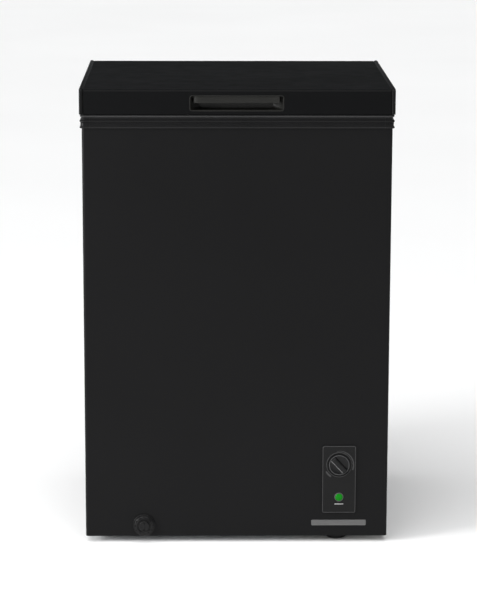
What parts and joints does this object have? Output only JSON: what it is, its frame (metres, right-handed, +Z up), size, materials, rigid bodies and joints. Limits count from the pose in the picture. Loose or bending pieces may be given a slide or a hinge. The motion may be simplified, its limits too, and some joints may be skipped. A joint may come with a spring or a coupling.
{
  "type": "chest freezer",
  "caption": "Compact chest freezer with a rear-hinged lid, recessed handle, front thermostat dial, drain outlet and a sliding wire basket.",
  "frame": {"origin": "on the floor, under the middle of the whole appliance's bounding box", "axes": "+Z up, +X to the right of a user at the front, front face towards -Y"},
  "size_m": [0.566, 0.495, 0.845],
  "materials": {
    "painted_steel": "satin",
    "lid_steel": "satin",
    "lid_trim": "satin",
    "black_plastic": "satin",
    "grip_plastic": "satin",
    "collar_plastic": "satin",
    "panel_plastic": "satin",
    "drain_plastic": "satin",
    "white_plastic": "satin",
    "rear_steel": "satin",
    "bay_steel": "satin",
    "bright_steel": "satin",
    "insulation": "matte",
    "tub_sheet": "satin",
    "coil_aluminium": "satin",
    "coil_steel": "satin",
    "copper": "satin",
    "gasket_rubber": "matte",
    "mount_rubber": "matte",
    "compressor_paint": "satin",
    "relay_plastic": "matte",
    "lens_plastic": "gloss",
    "harness_plastic": "matte",
    "badge_metal": "satin",
    "basket_wire": "gloss"
  },
  "bodies": {
    "cabinet": {"badge_plate": "badge_metal", "bay_partition": "bay_steel", "bottom_panel": "rear_steel", "cabinet_feet": "black_plastic", "cabinet_foam": "insulation", "cabinet_wrap": "painted_steel", "capillary_tube": "copper", "collar_corners": "collar_plastic", "collar_front": "collar_plastic", "collar_left": "collar_plastic", "collar_rear": "collar_plastic", "collar_right": "collar_plastic", "compressor_base_plate": "bay_steel", "compressor_bolts": "bright_steel", "compressor_bracket": "compressor_paint", "compressor_grommets": "mount_rubber", "compressor_housing": "compressor_paint", "compressor_relay_cover": "relay_plastic", "condenser_coil": "coil_steel", "control_panel": "panel_plastic", "cord_gland": "mount_rubber", "discharge_tube": "copper", "drain_bezel": "drain_plastic", "drain_pipe": "white_plastic", "drier_inlet_tube": "copper", "evaporator_coil": "coil_aluminium", "filter_drier": "copper", "hinge_base_left": "bay_steel", "hinge_base_right": "bay_steel", "hinge_covers": "black_plastic", "hinge_pins": "bright_steel", "hinge_springs": "bright_steel", "indicator_holder": "relay_plastic", "indicator_lens": "lens_plastic", "inner_liner": "tub_sheet", "process_tube": "copper", "rear_compressor_cover": "black_plastic", "rear_panel": "rear_steel", "rear_screws": "bright_steel", "side_vent_grille": "black_plastic", "suction_tube": "copper", "thermostat_body": "relay_plastic", "thermostat_sensing_tube": "copper", "wiring_harness": "harness_plastic"},
    "lid": {"lid_outer_panel": "lid_steel", "lid_end_cap_left": "lid_trim", "lid_end_cap_right": "lid_trim", "lid_foam": "insulation", "lid_liner": "white_plastic", "lid_gasket": "gasket_rubber", "handle_cup": "black_plastic", "handle_grip": "grip_plastic", "hinge_arms": "bay_steel", "hinge_arm_screws": "bright_steel"},
    "hinge_plungers": {"hinge_plungers": "bright_steel"},
    "thermostat_knob": {"thermostat_knob": "black_plastic"},
    "drain_slider": {"drain_sleeve": "drain_plastic"},
    "drain_dial": {"drain_dial": "drain_plastic"},
    "tub_drain_plug": {"tub_drain_plug": "white_plastic"},
    "storage_basket": {"storage_basket": "basket_wire"}
  },
  "joints": [
    {"name": "lid_hinge", "type": "hinge", "parent": "cabinet", "child": "lid", "pos_m": [0, 0.2395, 0.799], "axis": [-1, 0, 0], "range_deg": [0, 75]},
    {"name": "hinge_plunger_slide", "type": "slide", "parent": "cabinet", "child": "hinge_plungers", "axis": [0, 0, 1], "range_m": [0, 0.007], "deforming": ["hinge_springs"]},
    {"name": "thermostat_turn", "type": "hinge", "parent": "cabinet", "child": "thermostat_knob", "pos_m": [0.1892, -0.24, 0.1495], "axis": [0, -1, 0], "range_deg": [-110, 160]},
    {"name": "drain_pull", "type": "slide", "parent": "cabinet", "child": "drain_slider", "axis": [0, -1, 0], "range_m": [0, 0.012]},
    {"name": "drain_turn", "type": "hinge", "parent": "drain_slider", "child": "drain_dial", "pos_m": [-0.1707, -0.244, 0.034], "axis": [0, -1, 0], "range_deg": [0, 180]},
    {"name": "drain_plug_lift", "type": "slide", "parent": "cabinet", "child": "tub_drain_plug", "axis": [0, 0, 1], "range_m": [0, 0.03]},
    {"name": "basket_slide", "type": "slide", "parent": "cabinet", "child": "storage_basket", "axis": [1, 0, 0], "range_m": [-0.012, 0.22]}
  ],
  "couplings": [
    {"joint": "hinge_plunger_slide", "follows": "lid_hinge", "m_per_rad": 0.0052}
  ]
}
